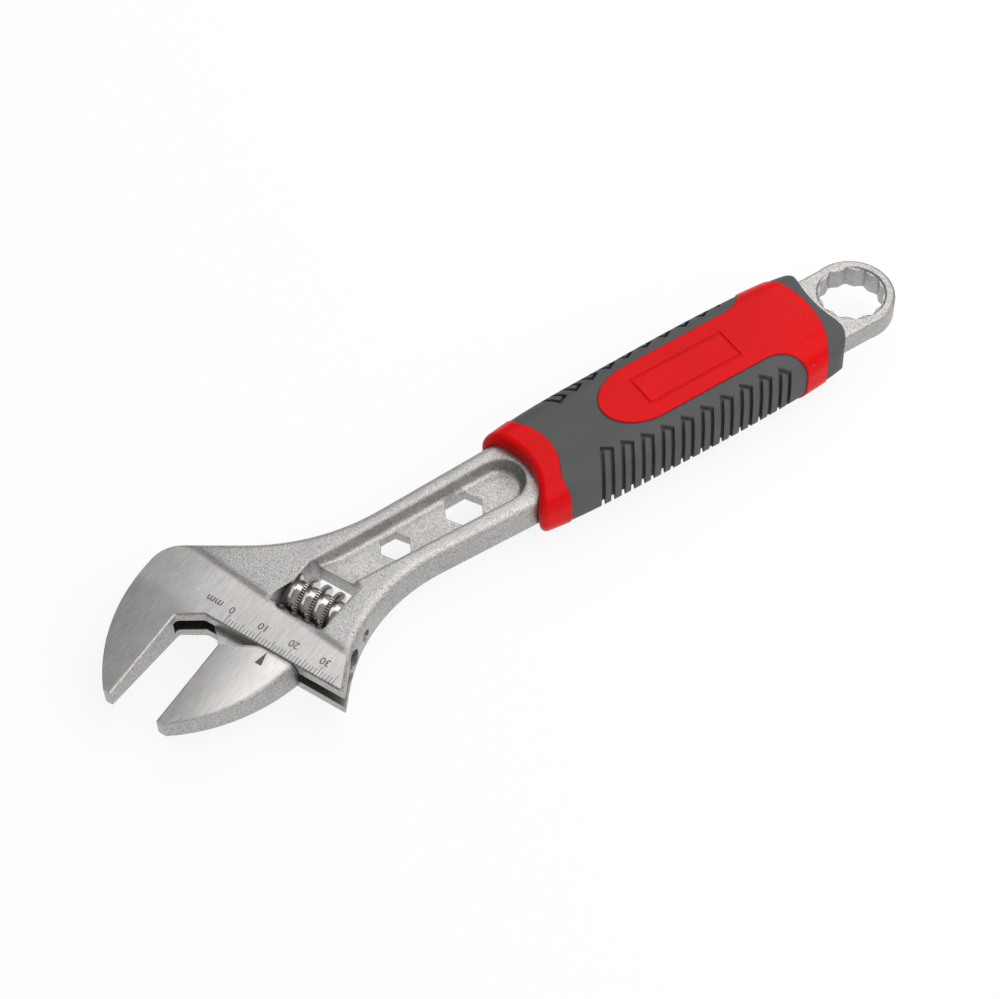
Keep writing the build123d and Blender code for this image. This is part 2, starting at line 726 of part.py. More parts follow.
# End collar, hollowed a little where the ring leaves it
with BuildPart() as grip_end_collar:
    add(grip_form(SLEEVE_DROP))
    wing = END_W / 2
    lobe = wing - END_CORNER
    rear_x = GRIP_SECTIONS[-1][0]
    with BuildSketch(TOOL):
        with BuildLine():
            Line((END_X - END_R, -wing), (rear_x - END_CORNER, -wing))
            TangentArc((rear_x - END_CORNER, -wing), (rear_x, -lobe), tangent=(1, 0))
            ThreePointArc((rear_x, -lobe), (rear_x - END_DIP, 0), (rear_x, lobe))
            TangentArc((rear_x, lobe), (rear_x - END_CORNER, wing), tangent=(0, 1))
            Line((rear_x - END_CORNER, wing), (END_X - END_R, wing))
            Line((END_X - END_R, wing), (END_X - END_R, -wing))
        make_face()
        with Locations((END_X - END_R, 0)):
            Circle(END_R + FIT, mode=Mode.SUBTRACT)
    extrude(amount=CLEAR, both=True, mode=Mode.INTERSECT)
    behind = SOCKET_X + rear_x - END_CORNER / 2
    rear = grip_end_collar.edges().filter_by(lambda e: (e @ 0.5).X > behind)
    fillet(rear, END_EDGE)
    add(steel_room.part, mode=Mode.SUBTRACT)
grip_end_collar.part.label = "grip_end_collar"
export_step(grip_end_collar.part, "parts/grip_end_collar.step")

for piece in (
    wrench_body,
    sliding_jaw,
    adjusting_worm,
    worm_pin,
    worm_spring,
    grip_core,
    grip_sleeve,
    grip_end_collar,
):
    solid = piece.part
    print(solid.label, round(solid.volume, 1), solid.is_valid, len(solid.solids()))
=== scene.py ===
# %% [markdown]
# # An adjustable wrench, dressed in Blender
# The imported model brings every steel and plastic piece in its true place, in metres. This lesson
# gives each piece its finish, adds the knurl, the scale and the pointer, and sets up a plain studio
# with the camera of the photograph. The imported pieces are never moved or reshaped: what needs
# another skin is copied first, and the copy is dressed.

# %% Load the frame
import bpy
from math import cos, pi, radians, sin
from mathutils import Matrix, Vector


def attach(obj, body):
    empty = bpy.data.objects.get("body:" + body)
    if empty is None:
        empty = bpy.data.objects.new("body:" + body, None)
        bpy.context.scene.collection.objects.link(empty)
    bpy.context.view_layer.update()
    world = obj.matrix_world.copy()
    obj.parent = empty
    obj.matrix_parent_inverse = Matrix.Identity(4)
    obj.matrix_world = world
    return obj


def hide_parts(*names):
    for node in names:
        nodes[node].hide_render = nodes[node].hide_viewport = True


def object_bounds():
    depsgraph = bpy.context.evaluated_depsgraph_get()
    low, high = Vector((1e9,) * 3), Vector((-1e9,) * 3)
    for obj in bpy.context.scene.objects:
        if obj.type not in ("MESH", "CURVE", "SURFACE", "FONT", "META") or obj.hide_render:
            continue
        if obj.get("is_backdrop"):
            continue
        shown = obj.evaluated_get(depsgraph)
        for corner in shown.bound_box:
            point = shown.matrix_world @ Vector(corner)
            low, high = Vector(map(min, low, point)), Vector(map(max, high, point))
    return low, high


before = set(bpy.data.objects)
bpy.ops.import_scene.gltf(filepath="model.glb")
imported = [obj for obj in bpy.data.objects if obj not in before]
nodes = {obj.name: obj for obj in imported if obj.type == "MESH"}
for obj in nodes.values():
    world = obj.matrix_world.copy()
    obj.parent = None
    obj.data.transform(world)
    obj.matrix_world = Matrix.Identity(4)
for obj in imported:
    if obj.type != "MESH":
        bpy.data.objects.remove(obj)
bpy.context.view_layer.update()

# %% [markdown]
# ## Directions of the head
# On the real tool the jaw faces stand at 22.5 degrees to the handle, so the sliding jaw, the worm
# and the scale all follow one slanted line. Every place could be worked out in the handle's x and
# y, but the numbers would say nothing. Two unit vectors and the zero of the scale let every later
# step speak in the maker's own terms: so far along the slide, so far along the jaw, so far up.

# %% The head's own coordinates
MM = 0.001
JAW_TURN = radians(22.5)
ALONG_SLIDE = Vector((sin(JAW_TURN), -cos(JAW_TURN), 0.0))
ALONG_JAW = Vector((cos(JAW_TURN), sin(JAW_TURN), 0.0))
AXIS_Z = 10.7
SCALE_ZERO = Vector((-88.0, 3.5, AXIS_Z)) * MM


def head_point(slide, jaw, up):
    return SCALE_ZERO + (ALONG_SLIDE * slide + ALONG_JAW * jaw + Vector((0, 0, up))) * MM


print("scale zero at", [round(v / MM, 2) for v in SCALE_ZERO], "mm")

# %% [markdown]
# ## Camera
# The photograph looks down at the tool from the jaws' side with a long lens. A camera placed by eye
# would make every later comparison doubtful. Here its place comes from lining up the ticks of the
# scale, the corners of the hex sockets, the jaw tips and the ring with their places on the model.
# Three unit vectors then turn the camera, roll included.

# %% Camera of the photograph
VIEW_TURN = radians(-31.291)
VIEW_RISE = radians(52.926)
VIEW_ROLL = radians(-2.801)
LOOK_AT = Vector((-9.38, -5.321, 15.9)) * MM
DISTANCE = 727.59 * MM
FOCUS_PIXELS = 2711.04
FRAME_WIDTH = 1000
SENSOR_WIDE = 36.0
NEAREST, FARTHEST = 0.01, 20.0

back = Vector((sin(VIEW_TURN) * cos(VIEW_RISE), -cos(VIEW_TURN) * cos(VIEW_RISE), sin(VIEW_RISE)))
level = Vector((cos(VIEW_TURN), sin(VIEW_TURN), 0.0))
upward = back.cross(level)
right = level * cos(VIEW_ROLL) + upward * sin(VIEW_ROLL)
top = upward * cos(VIEW_ROLL) - level * sin(VIEW_ROLL)
bpy.ops.object.select_all(action="DESELECT")
bpy.ops.object.camera_add()
camera = bpy.context.object
camera.name = "photo_camera"
turn = Matrix((right, top, back)).transposed().to_4x4()
camera.matrix_world = Matrix.Translation(LOOK_AT + back * DISTANCE) @ turn
camera.data.sensor_width = SENSOR_WIDE
camera.data.lens = SENSOR_WIDE * FOCUS_PIXELS / FRAME_WIDTH
camera.data.clip_start, camera.data.clip_end = NEAREST, FARTHEST
bpy.context.scene.camera = camera
print("lens", round(camera.data.lens, 1), "mm")

# %% [markdown]
# ## Small helpers for materials
# Every finish below is a tree of shader nodes. They could be wired one link at a time, but the
# pattern would drown in the wiring. These helpers keep the trees readable: one makes a material,
# one feeds a socket with a link or a plain value, one adds a node, and the last three add a noise,
# stretch a value to another range, and join two values.

# %% Node helpers


def new_material(name):
    material = bpy.data.materials.new(name)
    material.use_nodes = True
    tree = material.node_tree
    shader = next(n for n in tree.nodes if n.type == "BSDF_PRINCIPLED")
    return material, tree, shader


def feed(tree, value, socket):
    if isinstance(value, bpy.types.NodeSocket):
        tree.links.new(value, socket)
    else:
        socket.default_value = value


def add_node(tree, kind, inputs=None, **settings):
    node = tree.nodes.new(kind)
    for key, value in settings.items():
        setattr(node, key, value)
    for key, value in (inputs or {}).items():
        feed(tree, value, node.inputs[key])
    return node


def noise(tree, vector, scale, detail, rough=0.5):
    inputs = {"Vector": vector, "Scale": scale, "Detail": detail, "Roughness": rough}
    return add_node(tree, "ShaderNodeTexNoise", inputs).outputs["Fac"]


def stretch(tree, value, low, high, to_low, to_high):
    inputs = {"Value": value, "From Min": low, "From Max": high, "To Min": to_low, "To Max": to_high}
    return add_node(tree, "ShaderNodeMapRange", inputs).outputs["Result"]


def combine(tree, operation, first, second=0.0):
    return add_node(tree, "ShaderNodeMath", {0: first, 1: second}, operation=operation).outputs[0]


print("helpers ready")

# %% [markdown]
# ## Floor
# The tool lies on a white ground with no visible end. A white floor under soft light would still
# come out grey, and more light would wash out the steel. So the floor shines by itself, but only
# for the camera and for mirrors: the ground stays white, the metal has something pale to mirror,
# and the tool keeps its soft shadow.

# %% Floor
FLOOR_WIDE = 8.0
FLOOR_DROP = 0.0002
FLOOR_WHITE = (0.95, 0.95, 0.95, 1)
FLOOR_GLOW = 0.86
scene = bpy.context.scene
scene.view_settings.view_transform = "Standard"
bpy.ops.object.select_all(action="DESELECT")
bpy.ops.mesh.primitive_plane_add(size=FLOOR_WIDE, location=(0, 0, -FLOOR_DROP))
floor = bpy.context.object
floor.name = "studio_floor"
floor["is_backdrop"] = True
floor_white, tree, shader = new_material("floor_white")
feed(tree, FLOOR_WHITE, shader.inputs["Base Color"])
feed(tree, 0.9, shader.inputs["Roughness"])
feed(tree, 0.0, shader.inputs["Specular IOR Level"])
glow = add_node(tree, "ShaderNodeEmission", {"Strength": 1.0})
path = add_node(tree, "ShaderNodeLightPath")
seen = combine(tree, "MAXIMUM", path.outputs["Is Camera Ray"], path.outputs["Is Glossy Ray"])
share = combine(tree, "MULTIPLY", seen, FLOOR_GLOW)
mix = add_node(tree, "ShaderNodeMixShader", {"Fac": share, 1: shader.outputs[0], 2: glow.outputs[0]})
out = next(n for n in tree.nodes if n.type == "OUTPUT_MATERIAL")
feed(tree, mix.outputs[0], out.inputs["Surface"])
floor.data.materials.append(floor_white)
print("floor", FLOOR_WIDE, "m wide")

# %% [markdown]
# ## Lamps
# Metal only looks like metal if it has something to mirror. One soft box hangs beyond the handle,
# where the flat tops mirror it, and it ends before the place that the tapered jaws mirror, so these
# turn darker. A small box overhead gives the sheen of the sliding jaw. The largest box stands in
# front, for the rounded edges and the side of the grip. Its size keeps it mild: a small strong lamp
# would burn the head to white when the tool is seen from another side.

# %% Soft boxes


def soft_box(name, place, aim, wide, deep, power):
    bpy.ops.object.light_add(type="AREA", location=place)
    lamp = bpy.context.object
    lamp.name = name
    lamp.data.shape = "RECTANGLE"
    lamp.data.size = wide
    lamp.data.size_y = deep
    lamp.data.energy = power
    lamp.rotation_mode = "QUATERNION"
    lamp.rotation_quaternion = (Vector(aim) - Vector(place)).to_track_quat("-Z", "Y")


soft_box("top_box", place=(0.50, 0.42, 0.62), aim=(0.50, 0.42, 0.0), wide=0.9, deep=0.7, power=2.6)
soft_box("over_box", place=(0.30, 0.02, 1.0), aim=(-0.05, 0.0, 0.0), wide=0.55, deep=0.40, power=1.05)
soft_box("front_box", place=(0.36, -0.66, 0.80), aim=(0.0, 0.0, 0.0), wide=1.5, deep=1.1, power=9.6)

# %% [markdown]
# ## Surroundings
# A photo studio has no black corners. A picture of one could be wrapped round the scene, but an
# even pale grey is enough here. It brightens to a patch in the direction that the flat tops mirror.
# The patch is a colour ramp over the dot product of two directions, so the tool turns from bright
# to grey as it is seen from other sides.

# %% Pale grey world
GLOW_TOWARDS = (0.55, 0.52, 0.65)
GLOW_FROM = 0.86
WORLD_GREY = (0.62, 0.62, 0.625, 1)
WORLD_GLOW = (1.15, 1.15, 1.15, 1)
WORLD_STRENGTH = 0.57
world = bpy.data.worlds.new("studio")
scene.world = world
world.use_nodes = True
tree = world.node_tree
backdrop = next(n for n in tree.nodes if n.type == "BACKGROUND")
looking = add_node(tree, "ShaderNodeTexCoord").outputs["Generated"]
lean = add_node(tree, "ShaderNodeVectorMath", {0: looking, 1: GLOW_TOWARDS}, operation="DOT_PRODUCT")
ramp = add_node(tree, "ShaderNodeValToRGB", {"Fac": lean.outputs["Value"]})
grey_end, glow_end = ramp.color_ramp.elements
grey_end.position, grey_end.color = GLOW_FROM, WORLD_GREY
glow_end.position, glow_end.color = 1.0, WORLD_GLOW
feed(tree, ramp.outputs["Color"], backdrop.inputs["Color"])
feed(tree, WORLD_STRENGTH, backdrop.inputs["Strength"])
print("world from", WORLD_GREY[0], "to", WORLD_GLOW[0])

# %% [markdown]
# ## Finished copies of the frame's pieces
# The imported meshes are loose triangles, which can only be shaded flat. Modelling the pieces again
# would lose their true shapes. A copy whose doubles are merged can be shaded smooth, with sharp
# edges only where the form turns. Weighted normals then keep the flat faces flat, so that only
# fillets and the thread catch a highlight.

# %% Copy, merge and smooth
SAME_POINT = 0.000002


def pick(piece):
    bpy.ops.object.select_all(action="DESELECT")
    piece.select_set(True)
    bpy.context.view_layer.objects.active = piece


def smooth(piece, angle):
    pick(piece)
    bpy.ops.object.shade_smooth_by_angle(angle=radians(angle))


def weigh_normals(piece):
    pick(piece)
    weighted = piece.modifiers.new("weighted", "WEIGHTED_NORMAL")
    weighted.keep_sharp = True
    bpy.ops.object.modifier_apply(modifier=weighted.name)


def finished_copy(node, name, body, smooth_to):
    pick(nodes[node])
    bpy.ops.object.duplicate()
    copy = bpy.context.object
    copy.name = name
    copy.data.name = name
    for key in list(copy.keys()):
        del copy[key]
    copy.parent = None
    copy.data.materials.clear()
    bpy.ops.object.mode_set(mode="EDIT")
    bpy.ops.mesh.select_all(action="SELECT")
    bpy.ops.mesh.remove_doubles(threshold=SAME_POINT)
    bpy.ops.mesh.customdata_custom_splitnormals_clear()
    bpy.ops.object.mode_set(mode="OBJECT")
    smooth(copy, smooth_to)
    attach(copy, body)
    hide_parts(node)
    print(name, len(copy.data.vertices), "points", len(copy.data.polygons), "faces")
    return copy


print("copy helpers ready for", len(nodes), "pieces")

# %% Eight pieces
FORGED_SMOOTH, THREAD_SMOOTH, TURNED_SMOOTH, WIRE_SMOOTH, MOULDED_SMOOTH = 25, 35, 30, 60, 30
body = finished_copy("wrench_body", "body_steel", "frame", FORGED_SMOOTH)
jaw = finished_copy("sliding_jaw", "jaw_steel", "jaw", FORGED_SMOOTH)
worm = finished_copy("adjusting_worm", "worm_thread", "worm", THREAD_SMOOTH)
pin = finished_copy("worm_pin", "worm_pin_turned", "frame", TURNED_SMOOTH)
spring = finished_copy("worm_spring", "worm_spring_wire", "frame", WIRE_SMOOTH)
core = finished_copy("grip_core", "grip_hard", "frame", MOULDED_SMOOTH)
sleeve = finished_copy("grip_sleeve", "grip_soft", "frame", MOULDED_SMOOTH)
collar = finished_copy("grip_end_collar", "grip_collar", "frame", MOULDED_SMOOTH)
for piece in (jaw, pin, spring, core, sleeve, collar):
    weigh_normals(piece)
print("normals weighted; the body and the worm follow after their own changes")

# %% [markdown]
# ## Flush hex sockets
# The solids carry a small lead-in at the two hex sockets, as a drawing would. On the pictured tool
# the sockets are punched straight through and end flush with the pocket's floor. New holes could be
# cut, but the old ones are already right but for their rims. So only the points of the lead-in are
# lifted to that floor, on both sides.

# %% Lead-in closed
SOCKETS = ((-39.5, 8.0), (-17.7, 10.0))
WEB = 3.0
LEAD_IN = 0.5
RIM_SLACK = 0.05
LEAST_DEPTH, MOST_DEPTH = 0.001, LEAD_IN + 0.02
lifted = 0
for socket_x, across_flats in SOCKETS:
    rim = across_flats / 3 ** 0.5 + LEAD_IN / 2 + RIM_SLACK
    for point in body.data.vertices:
        spot = point.co / MM - Vector((socket_x, 0, AXIS_Z))
        depth = WEB / 2 - abs(spot.z)
        if spot.xy.length < rim and LEAST_DEPTH < depth < MOST_DEPTH:
            point.co.z = (AXIS_Z + (WEB / 2 if spot.z > 0 else -WEB / 2)) * MM
            lifted += 1
smooth(body, FORGED_SMOOTH)
weigh_normals(body)
print(lifted, "points lifted")

# %% [markdown]
# ## Knurl of the worm
# A thumb turns the worm, so its crest is cut with short teeth all along the thread. A bump could
# only pretend this, and from the side the crest would stay smooth. Cutting real notches would need
# a boolean for each. Here the crest is first drawn in by the depth of the notches, and the teeth
# are then set on it.

# %% Crest drawn in
WORM_AT = 15.45
WORM_BEHIND = 16.5
WORM_MIDDLE = head_point(WORM_AT, WORM_BEHIND, 0)
CREST = 7.0 * MM
CREST_NEAR = 0.1 * MM
NOTCH_FLOOR = 6.66 * MM
drawn = 0
for point in worm.data.vertices:
    from_middle = point.co - WORM_MIDDLE
    outward = from_middle - ALONG_SLIDE * from_middle.dot(ALONG_SLIDE)
    if outward.length > CREST - CREST_NEAR:
        point.co -= outward.normalized() * (outward.length - NOTCH_FLOOR)
        drawn += 1
weigh_normals(worm)
print(drawn, "crest points drawn in")

# %% [markdown]
# One tooth is modelled from a cube whose outer face is drawn narrower, as a knurling wheel leaves
# it. It is stood on the crest at the start of the thread.

# %% One tooth
TEETH_PER_TURN = 56
THREAD_LEAD = 4.2
FIRST_TOOTH = 8.6
CREST_AT = 11.04
TOOTH_SIZE = (0.44 * MM, 0.50 * MM, 1.02 * MM)
TOOTH_SUNK = 0.22 * MM
TOOTH_TAPER = (1.0, 0.55, 0.9)


def settle():
    bpy.ops.object.transform_apply(location=True, rotation=True, scale=True)


bpy.ops.object.select_all(action="DESELECT")
bpy.ops.mesh.primitive_cube_add(size=1.0)
knurl = bpy.context.object
knurl.name = "worm_knurl"
knurl.scale = TOOTH_SIZE
settle()
bpy.ops.object.mode_set(mode="EDIT")
bpy.ops.mesh.select_all(action="DESELECT")
bpy.ops.object.mode_set(mode="OBJECT")
for face in knurl.data.polygons:
    face.select = face.normal.x > 0.9
bpy.ops.object.mode_set(mode="EDIT")
bpy.ops.transform.resize(value=TOOTH_TAPER)
bpy.ops.object.mode_set(mode="OBJECT")
start_angle = 2 * pi * (FIRST_TOOTH - CREST_AT) / THREAD_LEAD
outward = ALONG_JAW * cos(start_angle) + Vector((0, 0, sin(start_angle)))
round_about = ALONG_SLIDE.cross(outward)
stand = Matrix((outward, round_about, ALONG_SLIDE)).transposed().to_4x4()
foot = WORM_MIDDLE + ALONG_SLIDE * (FIRST_TOOTH - WORM_AT) * MM + outward * (CREST - TOOTH_SUNK)
knurl.matrix_world = Matrix.Translation(foot) @ stand
settle()
print("first tooth at", [round(v / MM, 2) for v in foot], "mm")

# %% [markdown]
# An Array then repeats the tooth along the screw line. Its offset object is an empty that is turned
# and moved by one step of the thread, so each tooth follows the one before it by the same step.

# %% Row of teeth
TOOTH_COUNT = 183
bpy.ops.object.empty_add()
screw = bpy.context.object
step_turn = Matrix.Rotation(2 * pi / TEETH_PER_TURN, 4, ALONG_SLIDE)
step_on = Matrix.Translation(ALONG_SLIDE * THREAD_LEAD * MM / TEETH_PER_TURN)
there = Matrix.Translation(WORM_MIDDLE)
screw.matrix_world = step_on @ there @ step_turn @ there.inverted()
bpy.context.view_layer.update()
row = knurl.modifiers.new("row", "ARRAY")
row.count = TOOTH_COUNT
row.use_relative_offset = False
row.use_object_offset = True
row.offset_object = screw
pick(knurl)
bpy.ops.object.modifier_apply(modifier=row.name)
bpy.data.objects.remove(screw)
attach(knurl, "worm")
print(TOOTH_COUNT, "teeth,", len(knurl.data.polygons), "faces")

# %% [markdown]
# ## Scale
# The head carries a millimetre scale for the opening, burnt in as dark marks. A painted texture
# would blur when seen close, so each mark is a thin inlay, which has a crisp edge from every side.
# The marks are drawn flat in the head's coordinates, then turned and carried to the scale's zero.

# %% Helpers for marks
HEAD_TOP = 5.2
MARK_PROUD = 0.012
MARK_DEEP = 0.10
MARK_THICK = MARK_PROUD + MARK_DEEP
MARK_MIDDLE = (MARK_PROUD - MARK_DEEP) / 2


def lay_on_head(piece):
    pick(piece)
    piece.matrix_world = Matrix.Translation(SCALE_ZERO) @ Matrix.Rotation(JAW_TURN, 4, "Z")
    settle()


def joined(pieces, name):
    bpy.ops.object.select_all(action="DESELECT")
    for piece in pieces:
        piece.select_set(True)
    bpy.context.view_layer.objects.active = pieces[0]
    settle()
    bpy.ops.object.join()
    pieces[0].name = name
    return pieces[0]


print("marks stand", MARK_PROUD, "mm proud")

# %% Ticks
TICK_COUNT = 36
TICK_WIDE = 0.20
TICK_EDGE = 0.008
TICK_FROM = -3.4
LONG_END, MIDDLE_END, SHORT_END = 0.0, -0.5, -1.2


def tick_end(number):
    if number % 10 == 0 or number == TICK_COUNT - 1:
        return LONG_END
    return MIDDLE_END if number % 5 == 0 else SHORT_END


bpy.ops.object.select_all(action="DESELECT")
bpy.ops.mesh.primitive_cube_add(size=1.0)
tick = bpy.context.object
tick.scale = (1.0 * MM, TICK_WIDE * MM, MARK_THICK * MM)
tick.location = (0, 0, (HEAD_TOP + MARK_MIDDLE) * MM)
settle()
bpy.ops.object.mode_set(mode="EDIT")
bpy.ops.mesh.bevel(offset=TICK_EDGE * MM, segments=1)
bpy.ops.object.mode_set(mode="OBJECT")
tick_copies = []
for number in range(TICK_COUNT):
    end = tick_end(number)
    pick(tick)
    bpy.ops.object.duplicate()
    copy = bpy.context.object
    copy.scale = (end - TICK_FROM, 1.0, 1.0)
    copy.location = ((end + TICK_FROM) / 2 * MM, -number * MM, 0)
    tick_copies.append(copy)
bpy.data.objects.remove(tick)
ticks = joined(tick_copies, "scale_ticks")
lay_on_head(ticks)
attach(ticks, "frame")
print(TICK_COUNT, "ticks")

# %% [markdown]
# ## Numerals
# Every tenth tick has its number, and the unit stands before the zero. Blender's own letters are
# close to the plain ones on the tool, so each is a text object. It becomes a mesh before it is
# placed, is brought to its measured height and is turned by a quarter, because the numbers are read
# with the jaws pointing away.

# %% Numerals
DIGIT_HIGH = 2.2
UNIT_HIGH = 1.6
TEXT_SIZE = 3.0
STROKE_EXTRA = 0.035
CURVE_STEPS = 4
SAME_LETTER_POINT = 0.000001
NUMERALS = (
    ("0", -0.4, 1.35, DIGIT_HIGH),
    ("10", 9.5, 1.4, DIGIT_HIGH),
    ("20", 19.65, 1.45, DIGIT_HIGH),
    ("30", 29.6, 1.45, DIGIT_HIGH),
    ("mm", -6.2, 1.55, UNIT_HIGH),
)
words = []
for word, slide, jaw_at, high in NUMERALS:
    bpy.ops.object.select_all(action="DESELECT")
    bpy.ops.object.text_add()
    label = bpy.context.object
    label.data.body = word
    label.data.size = TEXT_SIZE * MM
    label.data.extrude = MARK_THICK / 2 * MM
    label.data.resolution_u = CURVE_STEPS
    label.data.offset = STROKE_EXTRA * MM
    bpy.ops.object.convert(target="MESH")
    label = bpy.context.object
    points = [p.co for p in label.data.vertices]
    low, high_end = (Vector([f(p[k] for p in points) for k in range(3)]) for f in (min, max))
    grow = high * MM / (high_end.y - low.y)
    shift = Matrix.Translation((jaw_at * MM, -slide * MM, (HEAD_TOP + MARK_MIDDLE) * MM))
    size = Matrix.Diagonal((grow, grow, 1.0, 1.0))
    centre = Matrix.Translation(-(low + high_end) / 2)
    label.matrix_world = shift @ Matrix.Rotation(radians(90), 4, "Z") @ size @ centre
    settle()
    words.append(label)
numerals = joined(words, "scale_numerals")
bpy.ops.object.mode_set(mode="EDIT")
bpy.ops.mesh.select_all(action="SELECT")
bpy.ops.mesh.remove_doubles(threshold=SAME_LETTER_POINT)
bpy.ops.mesh.normals_make_consistent(inside=False)
bpy.ops.object.mode_set(mode="OBJECT")
lay_on_head(numerals)
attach(numerals, "frame")
print("numerals of", len(numerals.data.polygons), "faces")

# %% [markdown]
# ## Pointer
# A small triangle on the sliding jaw points to the opening on the scale, so it rides with the jaw.
# A cylinder with three sides is already a triangle. It is drawn out to the measured length and
# width, and leaned to lie on the tapered jaw.

# %% Pointer
POINTER_TIP = -4.1
POINTER_LONG = 4.25
POINTER_WIDE = 2.1
POINTER_AT = 15.2
POINTER_EDGE = 0.01
TAPER_FROM = -3.5
TAPER = 0.0757
UNIT_LONG, UNIT_WIDE = 1.5, 3 ** 0.5
bpy.ops.object.select_all(action="DESELECT")
bpy.ops.mesh.primitive_cylinder_add(vertices=3, radius=1.0 * MM, depth=MARK_THICK * MM)
pointer = bpy.context.object
pointer.name = "jaw_pointer"
corner = max(pointer.data.vertices, key=lambda p: p.co.length)
to_front = Matrix.Rotation(-Vector(corner.co.xy).angle_signed(Vector((1, 0))), 4, "Z")
grow = Matrix.Diagonal((POINTER_LONG / UNIT_LONG, POINTER_WIDE / UNIT_WIDE, 1.0, 1.0))
pointer.matrix_world = grow @ to_front
settle()
bpy.ops.object.mode_set(mode="EDIT")
bpy.ops.mesh.bevel(offset=POINTER_EDGE * MM, segments=1)
bpy.ops.object.mode_set(mode="OBJECT")
front = max(p.co.x for p in pointer.data.vertices)
middle_jaw = POINTER_TIP - front / MM
height = HEAD_TOP - TAPER * (TAPER_FROM - middle_jaw) + MARK_MIDDLE
spot = Matrix.Translation((middle_jaw * MM, -POINTER_AT * MM, height * MM))
pointer.matrix_world = spot @ Matrix.Rotation(-TAPER, 4, "Y")
settle()
lay_on_head(pointer)
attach(pointer, "jaw")
print("pointer at", POINTER_AT, "mm of the scale")

# %% [markdown]
# ## Burnt marks
# A laser leaves a dull brown-black that is never quite even. One flat colour would look printed, so
# a very fine noise mixes two dark tones and makes the gloss uneven too.

# %% Dark marks


def blend(tree, kind, share, first, second):
    node = add_node(tree, "ShaderNodeMix", {"Factor": share, "A": first, "B": second}, data_type=kind)
    return node.outputs["Result"]


def coat(piece, material):
    piece.data.materials.clear()
    piece.data.materials.append(material)


SPECKLE_GRAIN = 5200.0
BURNT_DARK = (0.058, 0.054, 0.049, 1)
BURNT_PALE = (0.165, 0.156, 0.146, 1)
burnt, tree, shader = new_material("burnt_mark")
place = add_node(tree, "ShaderNodeTexCoord")
speckle = noise(tree, place.outputs["Object"], SPECKLE_GRAIN, 3.0)
share = stretch(tree, speckle, 0.35, 0.70, 0.0, 1.0)
feed(tree, blend(tree, "RGBA", share, BURNT_DARK, BURNT_PALE), shader.inputs["Base Color"])
feed(tree, stretch(tree, speckle, 0.3, 0.7, 0.45, 0.65), shader.inputs["Roughness"])
feed(tree, 0.3, shader.inputs["Specular IOR Level"])
for piece in (ticks, numerals, pointer):
    coat(piece, burnt)
print("marks burnt in on", ticks.name, numerals.name, pointer.name)

# %% [markdown]
# ## Where the grinder has been
# The forging is plated over a blasted skin, but the faces of the head and the jaws are ground after
# forging. Two materials with a hard border would show a seam. One mask tells the two apart instead:
# a face that looks up or down, on the jaws' side of a line across the head, is ground.

# %% Ground faces
GRIND_LINE = head_point(7.5, 9.6, 0)
GRIND_TURN = radians(16.8)
GRIND_BORDER = (0.0012, -0.0016)
LOOKS_UP = (0.80, 0.95)


def laid(tree, place, middle, turn, scale=(1, 1, 1)):
    inputs = {"Location": middle, "Rotation": (0, 0, turn), "Scale": scale}
    inputs["Vector"] = place.outputs["Object"]
    return add_node(tree, "ShaderNodeMapping", inputs, vector_type="TEXTURE").outputs["Vector"]


def split(tree, vector):
    return add_node(tree, "ShaderNodeSeparateXYZ", {0: vector}).outputs


def across_grind_line(tree, place):
    return split(tree, laid(tree, place, GRIND_LINE, GRIND_TURN))["X"]


def size_of(tree, value):
    return combine(tree, "ABSOLUTE", value)


def ground_share(tree, place):
    upright = size_of(tree, split(tree, place.outputs["Normal"])["Z"])
    facing = stretch(tree, upright, *LOOKS_UP, 0.0, 1.0)
    before = stretch(tree, across_grind_line(tree, place), *GRIND_BORDER, 0.0, 1.0)
    return combine(tree, "MULTIPLY", facing, before)


print("grinding line turned", round(GRIND_TURN * 180 / pi, 1), "degrees")

# %% [markdown]
# ## Grain of the steel
# The blasted skin has a pebbly grain with a few open pits. On the ground faces the grain is gone
# and fine lines run along the jaws. The pebbles are a noise. The lines are the same noise, drawn
# out thirty times longer than wide by a Mapping node. The pits are the middles of a few cells of a
# Voronoi pattern, chosen by the cells' own chance colour.

# %% Pebbles, lines and pits
LINE_SIZE = (0.005, 0.00016, 0.005)
PEBBLE_GRAIN = 2100.0
PIT_CELLS = 900.0


def brushed_lines(tree, place):
    return noise(tree, laid(tree, place, (0, 0, 0), JAW_TURN, LINE_SIZE), 1.0, 4.0, 0.6)


def scattered(tree, place, density, chance, spread):
    inputs = {"Vector": place.outputs["Object"], "Scale": density}
    cells = add_node(tree, "ShaderNodeTexVoronoi", inputs)
    draw = add_node(tree, "ShaderNodeSeparateColor", {0: cells.outputs["Color"]})
    few = stretch(tree, draw.outputs[0], *chance, 0.0, 1.0)
    near = stretch(tree, cells.outputs["Distance"], *spread, 1.0, 0.0)
    return combine(tree, "MULTIPLY", few, near)


def steel_skin(tree, place, ground):
    pebbles = noise(tree, place.outputs["Object"], PEBBLE_GRAIN, 4.0, 0.6)
    lines = stretch(tree, brushed_lines(tree, place), 0.0, 1.0, 0.20, 0.80)
    amount = combine(tree, "MULTIPLY", ground_share(tree, place), ground)
    skin = blend(tree, "FLOAT", amount, pebbles, lines)
    pits = scattered(tree, place, PIT_CELLS, chance=(0.94, 0.96), spread=(0.10, 0.22))
    pitted = combine(tree, "MULTIPLY", pits, stretch(tree, amount, 0.0, 0.5, 1.0, 0.0))
    return amount, skin, pitted


print("lines", LINE_SIZE[1] / MM, "mm wide")

